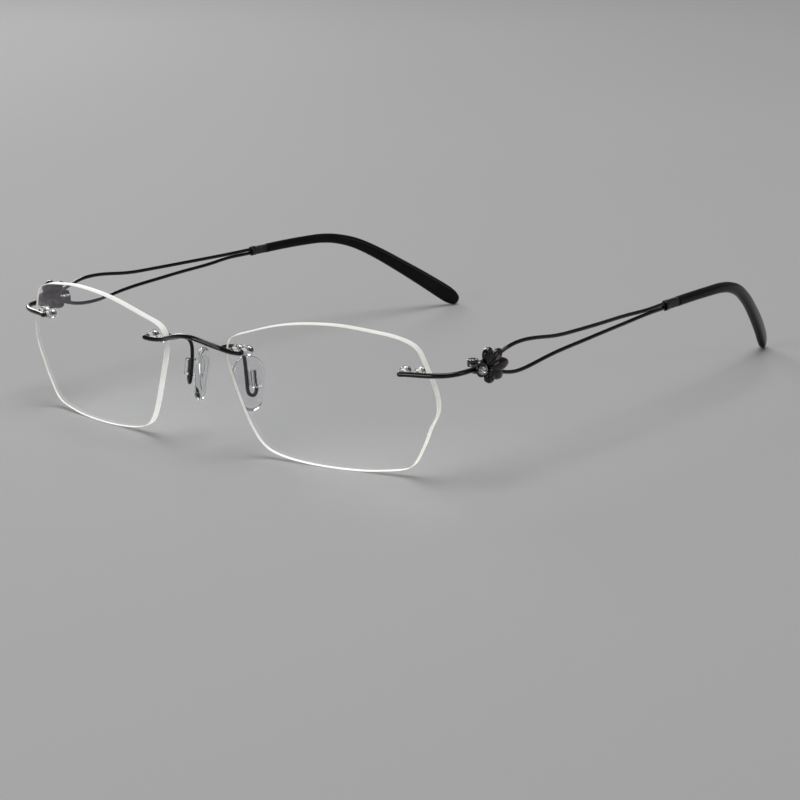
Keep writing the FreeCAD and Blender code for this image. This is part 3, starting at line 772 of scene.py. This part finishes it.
def make_ferrule(label, side):
    skin = list(FERRULE_SKIN)
    for number in range(FERRULE_RIBS):
        start = RIBS_START + number * RIB_STEP
        skin += [(start + reach, proud) for reach, proud in RIB]
    skin += FERRULE_END
    rings = [
        section(
            FERRULE + FERRULE_LINE * reach, FERRULE_LINE,
            FERRULE_HALF_HEIGHT + proud, FERRULE_HALF_WIDTH + proud, FERRULE_POWER, FERRULE_COUNT,
        )
        for reach, proud in skin
    ]
    mesh = bmesh.new()
    loft(mesh, rings)
    bmesh.ops.recalc_face_normals(mesh, faces=mesh.faces)
    new_piece(
        f"ferrule_ribbed_{label}", mesh, side, f"temple_{label}",
        [f"ferrule_{label}"], [FERRULE_METAL],
    )


# The ear tip's middle line with its height and thickness, and how square it is.
EAR_TIP = [
    (65.25, 88.9, 23.72, 2.30, 1.90, 2.2), (64.90, 95.0, 23.70, 2.30, 1.90, 2.2),
    (64.40, 102.0, 23.55, 2.35, 1.95, 2.2), (63.65, 108.5, 23.20, 2.45, 2.00, 2.2),
    (62.65, 114.0, 22.15, 2.60, 2.05, 2.3), (61.20, 119.5, 20.10, 2.90, 2.10, 2.4),
    (59.20, 125.5, 16.60, 3.20, 2.10, 2.6), (56.80, 131.5, 12.40, 3.55, 2.15, 2.8),
    (54.20, 137.5, 7.95, 4.00, 2.20, 3.0), (51.85, 142.4, 4.05, 4.30, 2.20, 3.0),
    (50.95, 144.2, 2.55, 4.10, 2.10, 2.9), (50.35, 145.4, 1.55, 3.30, 1.80, 2.6),
    (50.00, 146.1, 0.97, 2.12, 1.20, 2.3), (49.92, 146.3, 0.82, 0.80, 0.50, 2.0),
]
TIP_STEPS, TIP_COUNT = 9, 64
# The rings that close the tip's front face, inside to outside: the half height, which the
# length of the first step scales, and the half width.
TIP_FACE = [(0.8, 0.62), (1.06, 0.86)]
FACE_SETBACK = 0.06


def make_ear_tip(label, side):
    count = (len(EAR_TIP) - 1) * TIP_STEPS
    stations = [spline(EAR_TIP, number / count) for number in range(count + 1)]
    middles = [at(*station[:3]) for station in stations]
    first_line, first_power = middles[1] - middles[0], stations[0][5]
    rings = [
        section(middles[0], first_line, half_height, half_width, first_power, TIP_COUNT)
        for half_height, half_width in TIP_FACE
    ]
    for number, station in enumerate(stations):
        before, after = middles[max(number - 1, 0)], middles[min(number + 1, count)]
        line = (after - before).normalized()
        half_height, half_width, power = station[3] / 2, station[4] / 2, station[5]
        shift = line * FACE_SETBACK if number == 0 else Vector()
        rings.append(section(middles[number] + shift, line, half_height, half_width, power, TIP_COUNT))
    mesh = bmesh.new()
    loft(mesh, rings)
    bmesh.ops.recalc_face_normals(mesh, faces=mesh.faces)
    new_piece(
        f"tip_moulded_{label}", mesh, side, f"temple_{label}",
        [f"temple_tip_{label}", f"temple_core_{label}"], [TIP],
    )


for label, side in SIDES:
    make_ferrule(label, side)
    make_ear_tip(label, side)

# --------------------------------------------------------------- plain wires from the CAD

WIRES = ["bridge"]
for label, side in SIDES:
    WIRES += [f"endpiece_{label}", f"pad_arm_{label}"]
    WIRES += [f"temple_wire_upper_{label}", f"temple_wire_lower_{label}"]
for name in WIRES:
    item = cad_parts[name]
    item.data.materials.clear()
    item.data.materials.append(BLACK)

# ----------------------------------------------------------------- floor, lights, camera

# Half the floor's side, in metres.
FLOOR_HALF = 6.0
# Each softbox: its name, its place and its target in metres, its size in metres, its watts.
LIGHTS = [
    ("top", (0.0, 0.1, 1.1), (0, 0, 0), (0.7, 0.7), 7),
    ("front", (-0.25, -1.3, 0.45), (0, 0, 0.01), (0.7, 0.5), 6),
    ("right", (1.2, 0.5, 0.5), (0, 0, 0.02), (0.4, 0.4), 1.3),
    ("left", (-1.1, 0.5, 0.6), (0, 0, 0.02), (0.5, 0.5), 6),
]
SUN_STRENGTH, SUN_SPREAD = 1.4, 60
WORLD_STRENGTH = 0.17
CAMERA_PLACE = (0.40487, -0.45208, 0.14675)
# Azimuth, elevation and roll in degrees, then the lens in millimetres.
CAMERA_TURN = (42.21, 13.98, -2.41)
CAMERA_LENS = 116.88


def make_floor():
    """A plain matt floor, a little mottled."""
    mesh = bmesh.new()
    bmesh.ops.create_grid(mesh, x_segments=8, y_segments=8, size=FLOOR_HALF)
    data = bpy.data.meshes.new("floor")
    mesh.to_mesh(data)
    mesh.free()
    item = bpy.data.objects.new("floor", data)
    material, tree, shader = new_material("floor_paper")
    slow = pattern(tree, "ShaderNodeTexNoise", 0.0015, Detail=2.0)
    colour = ramp(tree, slow.outputs["Fac"], [(0.3, grey(0.26)), (0.7, grey(0.275))])
    tree.links.new(colour.outputs["Color"], shader.inputs["Base Color"])
    shader.inputs["Roughness"].default_value = 0.85
    shader.inputs["Specular IOR Level"].default_value = 0.2
    data.materials.append(material)
    bpy.context.scene.collection.objects.link(item)


def make_light(name, place, target, size, power):
    """A rectangular softbox at a place in metres, turned to a target and hidden from the camera."""
    data = bpy.data.lights.new(name, "AREA")
    data.shape = "RECTANGLE"
    data.size, data.size_y = size
    data.energy = power
    item = bpy.data.objects.new(name, data)
    item.location = place
    item.visible_camera = False
    item.rotation_euler = (Vector(target) - Vector(place)).to_track_quat("-Z", "Y").to_euler()
    bpy.context.scene.collection.objects.link(item)


def make_sun(strength, spread_degrees):
    """A wide soft sun straight above that lights the whole floor alike, kept out of reflections."""
    data = bpy.data.lights.new("sun", "SUN")
    data.energy = strength
    data.angle = math.radians(spread_degrees)
    item = bpy.data.objects.new("sun", data)
    item.visible_glossy = False
    bpy.context.scene.collection.objects.link(item)


def make_camera():
    """The camera, turned by its azimuth, elevation and roll about the view's axis."""
    azimuth, elevation, roll = (math.radians(value) for value in CAMERA_TURN)
    back = Vector((
        math.sin(azimuth) * math.cos(elevation),
        -math.cos(azimuth) * math.cos(elevation),
        math.sin(elevation),
    ))
    right = Vector((math.cos(azimuth), math.sin(azimuth), 0))
    up = back.cross(right)
    across = right * math.cos(roll) + up * math.sin(roll)
    above = up * math.cos(roll) - right * math.sin(roll)
    data = bpy.data.cameras.new("camera")
    data.lens = CAMERA_LENS
    data.sensor_width = 36.0
    data.clip_start, data.clip_end = 0.01, 50
    item = bpy.data.objects.new("camera", data)
    axes = Matrix((across, above, back)).transposed().to_4x4()
    item.matrix_world = Matrix.Translation(CAMERA_PLACE) @ axes
    bpy.context.scene.collection.objects.link(item)
    bpy.context.scene.camera = item


make_floor()
make_sun(SUN_STRENGTH, SUN_SPREAD)
for light in LIGHTS:
    make_light(*light)
world = bpy.data.worlds.new("world")
world.use_nodes = True
background = world.node_tree.nodes["Background"]
background.inputs["Color"].default_value = (1, 1, 1, 1)
background.inputs["Strength"].default_value = WORLD_STRENGTH
bpy.context.scene.world = world
bpy.context.scene.view_settings.view_transform = "Standard"
make_camera()
